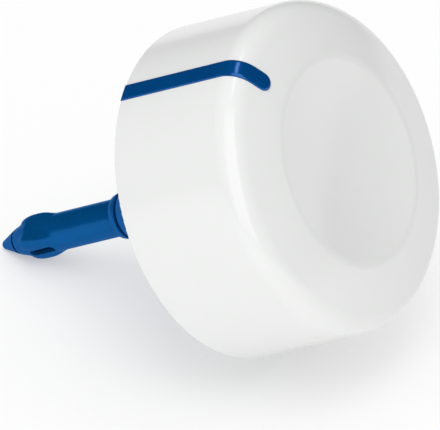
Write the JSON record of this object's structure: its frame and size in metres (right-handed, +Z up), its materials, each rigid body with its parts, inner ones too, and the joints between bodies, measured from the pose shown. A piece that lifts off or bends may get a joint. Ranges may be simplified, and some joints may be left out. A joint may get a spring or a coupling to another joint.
{
  "type": "floating pool water monitor",
  "caption": "Round floating pool monitor: white drum with a dished top and a blue strip, and below it a blue flared neck and a finned sensor probe.",
  "frame": {"origin": "on the drum's axis at the waterline, where the calm water surface cuts the float", "axes": "+Z up along the drum's axis as it floats, +X towards the blue indicator strip"},
  "size_m": [0.1308, 0.13, 0.1767],
  "materials": {
    "white_shell": "polished moulding",
    "blue_strip": "satin moulding",
    "blue_moulding": "satin moulding",
    "black_rubber": "satin",
    "blue_rubber": "satin",
    "screw_steel": "machined",
    "ballast_steel": "zinc plated",
    "grey_frame": "moulded",
    "green_board": "solder mask",
    "chip_black": "moulded",
    "shield_can": "stamped",
    "antenna_ceramic": "fired ceramic",
    "connector_cream": "moulded",
    "cell_jacket": "printed sleeve",
    "spring_steel": "nickel plated",
    "red_lead": "insulation",
    "grey_lead": "jacket",
    "insert_black": "moulded",
    "contact_gold": "gold plated",
    "carrier_black": "moulded",
    "electrode_glass": "clear",
    "electrode_body": "moulded",
    "platinum": "polished",
    "frit_ceramic": "porous ceramic",
    "pin_steel": "polished"
  },
  "bodies": {
    "float": {"top_shell": "white_shell", "base_cover": "white_shell", "indicator_strip": "blue_strip", "neck": "blue_moulding", "cover_gasket": "black_rubber", "cover_screws": "screw_steel", "ballast_screws": "screw_steel", "chassis_screws": "screw_steel", "board_screws": "screw_steel", "ballast_ring": "ballast_steel", "chassis": "grey_frame", "battery_tray": "grey_frame", "main_board": "green_board", "processor_chip": "chip_black", "radio_module": "shield_can", "antenna": "antenna_ceramic", "board_connector": "connector_cream", "battery_cells": "cell_jacket", "battery_springs": "spring_steel", "battery_plates": "spring_steel", "battery_leads": "red_lead", "probe_lead": "grey_lead", "socket_insert": "insert_black", "socket_pins": "contact_gold"},
    "probe": {"probe_head": "blue_moulding", "spigot_o_rings": "black_rubber", "retaining_ring": "spring_steel", "plug_insert": "insert_black", "plug_contacts": "contact_gold", "probe_board": "green_board", "probe_tube": "blue_moulding", "electrode_carrier": "carrier_black", "ph_electrode": "electrode_glass", "orp_electrode": "electrode_body", "orp_tip": "platinum", "reference_electrode": "electrode_body", "junction_frit": "frit_ceramic", "temperature_pin": "pin_steel"},
    "collar": {"locking_collar": "blue_moulding"},
    "nose_ring": {"nose_o_ring": "blue_rubber"},
    "nose": {"nose_cap": "blue_moulding"}
  },
  "joints": [
    {"name": "probe_draw", "type": "slide", "parent": "float", "child": "probe", "axis": [0, 0, -1], "range_m": [0, 0.007]},
    {"name": "collar_turn", "type": "hinge", "parent": "probe", "child": "collar", "pos_m": [0, 0, -0.0755], "axis": [0, 0, -1], "range_deg": [0, 720.5]},
    {"name": "nose_draw", "type": "slide", "parent": "probe", "child": "nose_ring", "axis": [0, 0, -1], "range_m": [0, 0.004]},
    {"name": "nose_turn", "type": "hinge", "parent": "nose_ring", "child": "nose", "pos_m": [0, 0, -0.139], "axis": [0, 0, -1], "range_deg": [0, 720.5]}
  ],
  "couplings": [
    {"joint": "collar_turn", "follows": "probe_draw", "rad_per_m": 1795.2},
    {"joint": "nose_turn", "follows": "nose_draw", "rad_per_m": 3141.6}
  ]
}
